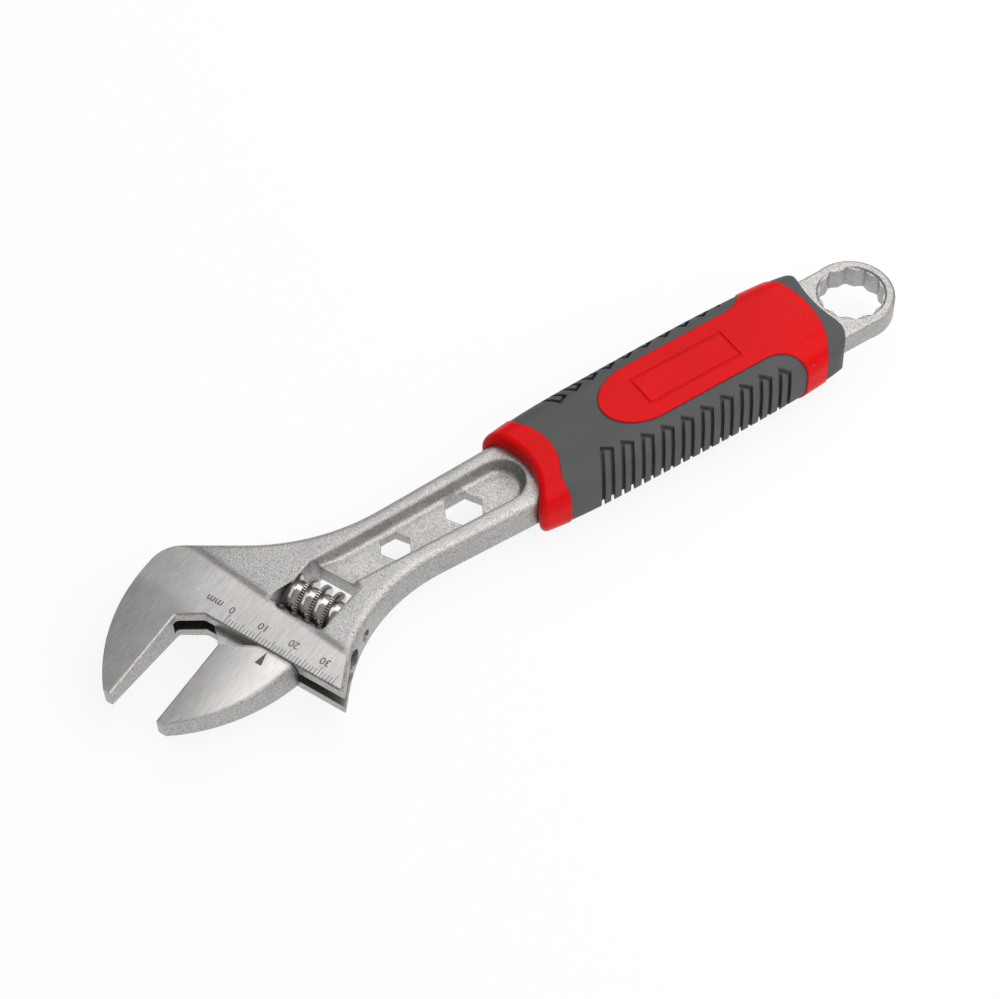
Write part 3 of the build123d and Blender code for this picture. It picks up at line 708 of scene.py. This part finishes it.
# %% [markdown]
# ## Soft edges
# No edge of a tumbled forging is sharp. A bevel modifier on these dense meshes would tear at the
# fillets, so a Bevel node rounds the edges in the shading. Its radius grows by place: widest along
# the walls of the shank's pocket and at the grinding line, and on the outer side of the sliding
# jaw, where the real tool is softest.

# %% Rounding by place
FORGED_EDGE = 0.00035
SHANK_EXTRA = 0.0015
BELLY_EXTRA = 0.0013
SHANK_BEGINS = (-0.072, -0.055)
RING_BEGINS = (0.005, 0.015)
WALL_BAND = (0.0035, 0.0055)
WEB_BAND = (0.0012, 0.0016)
LINE_BAND = (0.0012, 0.0030)
BELLY_BAND = (-0.005, -0.008)


def product(tree, *values):
    total = values[0]
    for value in values[1:]:
        total = combine(tree, "MULTIPLY", total, value)
    return total


def forged_rounding(tree, place, edge):
    spot = split(tree, place.outputs["Object"])
    past_head = stretch(tree, spot["X"], *SHANK_BEGINS, 0.0, 1.0)
    before_ring = stretch(tree, spot["X"], *RING_BEGINS, 1.0, 0.0)
    at_walls = stretch(tree, size_of(tree, spot["Y"]), *WALL_BAND, 0.0, 1.0)
    level = combine(tree, "SUBTRACT", spot["Z"], AXIS_Z * MM)
    off_web = stretch(tree, size_of(tree, level), *WEB_BAND, 0.0, 1.0)
    walls = product(tree, past_head, before_ring, at_walls, off_web)
    at_line = stretch(tree, size_of(tree, across_grind_line(tree, place)), *LINE_BAND, 0.9, 0.0)
    softest = combine(tree, "MAXIMUM", walls, at_line)
    return stretch(tree, softest, 0.0, 1.0, edge, edge + SHANK_EXTRA)


def against_slide(tree, place):
    return split(tree, laid(tree, place, SCALE_ZERO, JAW_TURN))["Y"]


def belly_rounding(tree, place, edge):
    return stretch(tree, against_slide(tree, place), *BELLY_BAND, edge, edge + BELLY_EXTRA)


print("edges rounded by up to", round((FORGED_EDGE + SHANK_EXTRA) / MM, 2), "mm")

# %% [markdown]
# ## Crown of the jaws
# A grinding belt gives way at the edges, so a ground jaw is slightly crowned and falls away to its
# outer side. The eye sees this only as a sheen that runs across the face. A second bump gives it.
# Its height is a parabola over the distance past a start line, in true metres, so it leans the
# shading as far as a real crown would.

# %% Crown
SLIDING_CROWN = (-1.0, 0.0045, 24.0)
FIXED_CROWN = (1.0, 0.006, 6.5)


def belt_crown(tree, place, side, start, curve):
    outwards = combine(tree, "MULTIPLY", against_slide(tree, place), side)
    past = combine(tree, "MAXIMUM", combine(tree, "SUBTRACT", outwards, start), 0.0)
    return product(tree, past, past, -0.5 * curve)


print("crown starts", SLIDING_CROWN[1] / MM, "and", FIXED_CROWN[1] / MM, "mm from the scale's zero")

# %% [markdown]
# ## Steel recipe
# The pieces differ only in tint, gloss, grain and edge, so one recipe serves all four. Relief comes
# first: rounded edges, then the crown, then the grain. Colour and gloss follow the same grain, as
# light and dark flecks do on a blasted skin. The ground faces are a little brighter and smoother.

# %% Relief


def soft_edge(tree, radius):
    return add_node(tree, "ShaderNodeBevel", {"Radius": radius}, samples=4).outputs["Normal"]


def relief(tree, height, strength, depth, normal):
    inputs = {"Height": height, "Strength": strength, "Distance": depth, "Normal": normal}
    return add_node(tree, "ShaderNodeBump", inputs).outputs["Normal"]


def tinted(tree, tint, shade):
    inputs = {0: tint, "Scale": shade}
    return add_node(tree, "ShaderNodeVectorMath", inputs, operation="SCALE").outputs[0]


print("relief helpers ready")

# %% Steel
GRAIN_DEPTH = 0.00009
CLOUD_GRAIN = 110.0
PIT_DARK = 0.30
GROUND_POLISH = 0.09


def steel(name, tint, rough, grain, ground, edge, rounding=None, crown=None):
    material, tree, shader = new_material(name)
    place = add_node(tree, "ShaderNodeTexCoord")
    amount, skin, pitted = steel_skin(tree, place, ground)
    normal = soft_edge(tree, rounding(tree, place, edge) if rounding else edge)
    if crown:
        swell = belt_crown(tree, place, *crown)
        normal = relief(tree, swell, strength=1.0, depth=1.0, normal=normal)
    height = combine(tree, "SUBTRACT", skin, pitted)
    feed(tree, relief(tree, height, grain, GRAIN_DEPTH, normal), shader.inputs["Normal"])

    clouds = noise(tree, place.outputs["Object"], CLOUD_GRAIN, 5.0, 0.6)
    streak = stretch(tree, skin, 0.30, 0.70, 0.55, 1.36)
    cloud = stretch(tree, clouds, 0.30, 0.70, 0.93, 1.05)
    dark = stretch(tree, pitted, 0.0, 1.0, 1.0, PIT_DARK)
    fresh = stretch(tree, amount, 0.0, 1.0, 0.97, 1.08)
    shade = product(tree, streak, cloud, dark, fresh)
    uneven = stretch(tree, skin, 0.25, 0.75, rough - 0.06, rough + 0.08)
    polish = stretch(tree, amount, 0.0, 1.0, 0.0, GROUND_POLISH)
    feed(tree, 1.0, shader.inputs["Metallic"])
    feed(tree, tinted(tree, tint, shade), shader.inputs["Base Color"])
    feed(tree, combine(tree, "SUBTRACT", uneven, polish), shader.inputs["Roughness"])
    return material


def dress(piece, node, material):
    coat(piece, material)
    coat(nodes[node], material)


print("steel grain", GRAIN_DEPTH / MM, "mm deep")

# %% Steel on its pieces
FORGED_TINT = (0.47, 0.457, 0.445)
PIN_TINT = (0.50, 0.49, 0.48)
WIRE_TINT = (0.32, 0.32, 0.33)
forged = steel(
    "forged_steel_skin", FORGED_TINT, rough=0.40, grain=1.0, ground=1.0, edge=FORGED_EDGE,
    rounding=forged_rounding, crown=FIXED_CROWN,
)
ground = steel(
    "ground_jaw_steel", FORGED_TINT, rough=0.40, grain=0.9, ground=1.0, edge=FORGED_EDGE,
    rounding=belly_rounding, crown=SLIDING_CROWN,
)
turned = steel("turned_pin_steel", PIN_TINT, rough=0.34, grain=0.30, ground=0.0, edge=0.0001)
wire = steel("spring_wire_steel", WIRE_TINT, rough=0.38, grain=0.25, ground=0.0, edge=0.00005)
dress(body, "wrench_body", forged)
dress(jaw, "sliding_jaw", ground)
dress(pin, "worm_pin", turned)
dress(spring, "worm_spring", wire)
print("steel on", body.name, jaw.name, pin.name, spring.name)

# %% [markdown]
# ## Bright worm
# The worm is turned and bright plated. Fine turning lines run round its axis, so they are a noise
# that is squeezed along that axis, and a thin film of oil makes the gloss uneven. The notches
# between the teeth get painted shade: where the thread lies as far out as their floor, its colour
# is darkened to stand for the shade there. The teeth themselves stay bright.

# %% Plated worm
WORM_TINT = (0.64, 0.62, 0.60)
TURNING_SIZE = (0.02, 0.00025, 0.02)
WORM_EDGE = 0.0001
TURNING_DEPTH = 0.00004
FILM_GRAIN = 420.0
# Painted shade: beyond this radius the notch floor's colour is darkened to this share.
NOTCH_SHADE_FROM = (6.5 * MM, 6.6 * MM)
NOTCH_SHADE_DARK = 0.25


# Painted shade in the notches: darkens the thread's colour where it reaches the notch floor.
def notch_painted_shade(tree, place):
    spot = laid(tree, place, WORM_MIDDLE, JAW_TURN)
    flat = add_node(tree, "ShaderNodeVectorMath", {0: spot, 1: (1, 0, 1)}, operation="MULTIPLY")
    radius = add_node(tree, "ShaderNodeVectorMath", {0: flat.outputs[0]}, operation="LENGTH")
    return stretch(tree, radius.outputs["Value"], *NOTCH_SHADE_FROM, 1.0, NOTCH_SHADE_DARK)


def plated(name, shade_notches):
    material, tree, shader = new_material(name)
    place = add_node(tree, "ShaderNodeTexCoord")
    rings = noise(tree, laid(tree, place, WORM_MIDDLE, JAW_TURN, TURNING_SIZE), 1.0, 3.0)
    film = noise(tree, place.outputs["Object"], FILM_GRAIN, 4.0, 0.6)
    shade = stretch(tree, film, 0.30, 0.70, 0.72, 1.08)
    # Painted shade darkens the notch floors between the teeth.
    if shade_notches:
        shade = combine(tree, "MULTIPLY", shade, notch_painted_shade(tree, place))
    edge = soft_edge(tree, WORM_EDGE)
    normal = relief(tree, rings, strength=0.35, depth=TURNING_DEPTH, normal=edge)
    feed(tree, 1.0, shader.inputs["Metallic"])
    feed(tree, normal, shader.inputs["Normal"])
    feed(tree, tinted(tree, WORM_TINT, shade), shader.inputs["Base Color"])
    feed(tree, stretch(tree, film, 0.30, 0.70, 0.08, 0.24), shader.inputs["Roughness"])
    return material


coat(knurl, plated("bright_worm_steel", shade_notches=False))
# The thread carries the painted shade in its notches; the teeth do not.
dress(worm, "adjusting_worm", plated("notch_shaded_worm_thread", shade_notches=True))
print("bright plating on", worm.name, knurl.name)

# %% [markdown]
# ## Grip
# Two plastics are moulded over the tang: a hard red one and a soft dark one. The red has a skin of
# medium gloss with a faint orange-peel. The dark one is matt, with a dusty bloom and a few pale
# specks that such a soft skin picks up. One recipe makes both, and only its numbers differ. A wide
# Bevel node rolls the rims over, because moulded edges are never sharp.

# %% Plastic recipe
PEEL_DEPTH = 0.00005
RUB_GRAIN = 60.0
SPECK_CELLS = 330.0
DUST = (0.55, 0.54, 0.52, 1)


def moulded(name, tint, rubbed, rough, gloss_level, peel, peel_scale, speck, rim):
    material, tree, shader = new_material(name)
    place = add_node(tree, "ShaderNodeTexCoord")
    skin = noise(tree, place.outputs["Object"], peel_scale, 2.0)
    rub = noise(tree, place.outputs["Object"], RUB_GRAIN, 6.0, 0.65)
    specks = scattered(tree, place, SPECK_CELLS, chance=(0.925, 0.935), spread=(0.04, 0.09))
    worn = blend(tree, "RGBA", stretch(tree, rub, 0.38, 0.66, 0.0, 1.0), (*tint, 1), (*rubbed, 1))
    dusty = blend(tree, "RGBA", combine(tree, "MULTIPLY", specks, speck), worn, DUST)
    feed(tree, relief(tree, skin, peel, PEEL_DEPTH, soft_edge(tree, rim)), shader.inputs["Normal"])
    feed(tree, dusty, shader.inputs["Base Color"])
    feed(tree, stretch(tree, rub, 0.30, 0.70, rough - 0.07, rough + 0.09), shader.inputs["Roughness"])
    feed(tree, gloss_level, shader.inputs["Specular IOR Level"])
    return material


print("orange-peel", PEEL_DEPTH / MM, "mm deep")

# %% Plastic on its pieces
red = moulded(
    "hard_red_plastic", tint=(0.68, 0.003, 0.005), rubbed=(0.62, 0.004, 0.006),
    rough=0.30, gloss_level=0.08, peel=0.3, peel_scale=700.0, speck=0.25, rim=0.0007,
)
grey = moulded(
    "soft_grey_plastic", tint=(0.080, 0.079, 0.080), rubbed=(0.093, 0.092, 0.092),
    rough=0.58, gloss_level=0.22, peel=0.5, peel_scale=2400.0, speck=0.7, rim=0.0005,
)
dress(core, "grip_core", red)
dress(sleeve, "grip_sleeve", grey)
dress(collar, "grip_end_collar", grey)
print("plastics on", core.name, sleeve.name, collar.name)

# %% [markdown]
# ## Sizes and the end
# Dressing must not change the tool's size.

# %% Sizes and the end
low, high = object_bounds()
print("dressed length", round((high - low).x / MM, 1), "mm")
